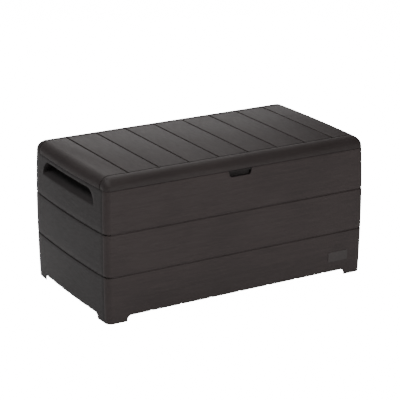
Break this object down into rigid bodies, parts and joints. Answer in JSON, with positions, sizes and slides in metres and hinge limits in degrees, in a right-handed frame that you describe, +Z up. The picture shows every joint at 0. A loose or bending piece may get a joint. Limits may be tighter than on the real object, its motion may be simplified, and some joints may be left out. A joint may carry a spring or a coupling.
{
  "type": "deck storage box",
  "caption": "Resin garden storage chest with plank-patterned walls, a hinged lid on gas struts, hand holds in both ends and a finger recess in front.",
  "frame": {"origin": "on the ground under the centre of the whole box, hinges included", "axes": "+X to the right seen from the front, +Y to the rear where the lid hinges, +Z up"},
  "size_m": [1.314, 0.714, 0.636],
  "materials": {
    "wall_resin": "dark brown resin with moulded wood grain",
    "lid_resin": "dark brown resin with moulded wood grain",
    "inner_resin": "plain dark resin with a fine texture",
    "hinge_nylon": "black nylon",
    "bumper_rubber": "soft black rubber",
    "black_steel": "black painted steel",
    "bright_steel": "bright steel"
  },
  "bodies": {
    "box": {"blank_plate": "wall_resin", "centre_hinge_pin": "bright_steel", "centre_hinge_screw_1": "bright_steel", "centre_hinge_screw_2": "bright_steel", "centre_hinge_wall_half": "hinge_nylon", "floor_foot_1": "inner_resin", "floor_foot_2": "inner_resin", "floor_foot_3": "inner_resin", "floor_foot_4": "inner_resin", "floor_foot_5": "inner_resin", "floor_foot_6": "inner_resin", "floor_panel": "inner_resin", "front_left_corner_post": "inner_resin", "front_panel": "wall_resin", "front_right_corner_post": "inner_resin", "left_end_panel": "wall_resin", "left_hinge_pin": "bright_steel", "left_hinge_screw_1": "bright_steel", "left_hinge_screw_2": "bright_steel", "left_hinge_wall_half": "hinge_nylon", "left_lid_bumper": "bumper_rubber", "left_strut_wall_bracket": "hinge_nylon", "left_wall_ball_stud": "bright_steel", "rear_left_corner_post": "inner_resin", "rear_panel": "wall_resin", "rear_right_corner_post": "inner_resin", "right_end_panel": "wall_resin", "right_hinge_pin": "bright_steel", "right_hinge_screw_1": "bright_steel", "right_hinge_screw_2": "bright_steel", "right_hinge_wall_half": "hinge_nylon", "right_lid_bumper": "bumper_rubber", "right_strut_wall_bracket": "hinge_nylon", "right_wall_ball_stud": "bright_steel"},
    "lid": {"centre_hinge_lid_half": "hinge_nylon", "centre_hinge_screw_3": "bright_steel", "centre_hinge_screw_4": "bright_steel", "left_hinge_lid_half": "hinge_nylon", "left_hinge_screw_3": "bright_steel", "left_hinge_screw_4": "bright_steel", "left_lid_ball_stud": "bright_steel", "left_strut_lid_bracket": "black_steel", "lid_liner": "inner_resin", "lid_top": "lid_resin", "right_hinge_lid_half": "hinge_nylon", "right_hinge_screw_3": "bright_steel", "right_hinge_screw_4": "bright_steel", "right_lid_ball_stud": "bright_steel", "right_strut_lid_bracket": "black_steel"},
    "left_strut_lower": {"left_strut_lower_socket": "hinge_nylon", "left_strut_tube": "black_steel"},
    "left_strut_upper": {"left_strut_rod": "bright_steel", "left_strut_upper_socket": "hinge_nylon"},
    "right_strut_lower": {"right_strut_lower_socket": "hinge_nylon", "right_strut_tube": "black_steel"},
    "right_strut_upper": {"right_strut_rod": "bright_steel", "right_strut_upper_socket": "hinge_nylon"}
  },
  "joints": [
    {"name": "lid_hinge", "type": "hinge", "parent": "box", "child": "lid", "pos_m": [0, 0.35045, 0.584], "axis": [-1, 0, 0], "range_deg": [0, 75]},
    {"name": "left_strut_swing", "type": "hinge", "parent": "box", "child": "left_strut_lower", "pos_m": [-0.59, 0.19325, 0.3711], "axis": [-1, 0, 0], "range_deg": [0, 5.4]},
    {"name": "left_strut_extend", "type": "slide", "parent": "left_strut_lower", "child": "left_strut_upper", "axis": [0, 0.3978, 0.9175], "range_m": [0, 0.07104]},
    {"name": "right_strut_swing", "type": "hinge", "parent": "box", "child": "right_strut_lower", "pos_m": [0.59, 0.19325, 0.3711], "axis": [-1, 0, 0], "range_deg": [0, 5.4]},
    {"name": "right_strut_extend", "type": "slide", "parent": "right_strut_lower", "child": "right_strut_upper", "axis": [0, 0.3978, 0.9175], "range_m": [0, 0.07104]}
  ],
  "couplings": [
    {"joint": "left_strut_swing", "follows": "lid_hinge", "ratio": 0.07067},
    {"joint": "left_strut_extend", "follows": "lid_hinge", "m_per_rad": 0.05389},
    {"joint": "right_strut_swing", "follows": "lid_hinge", "ratio": 0.07067},
    {"joint": "right_strut_extend", "follows": "lid_hinge", "m_per_rad": 0.05389}
  ]
}
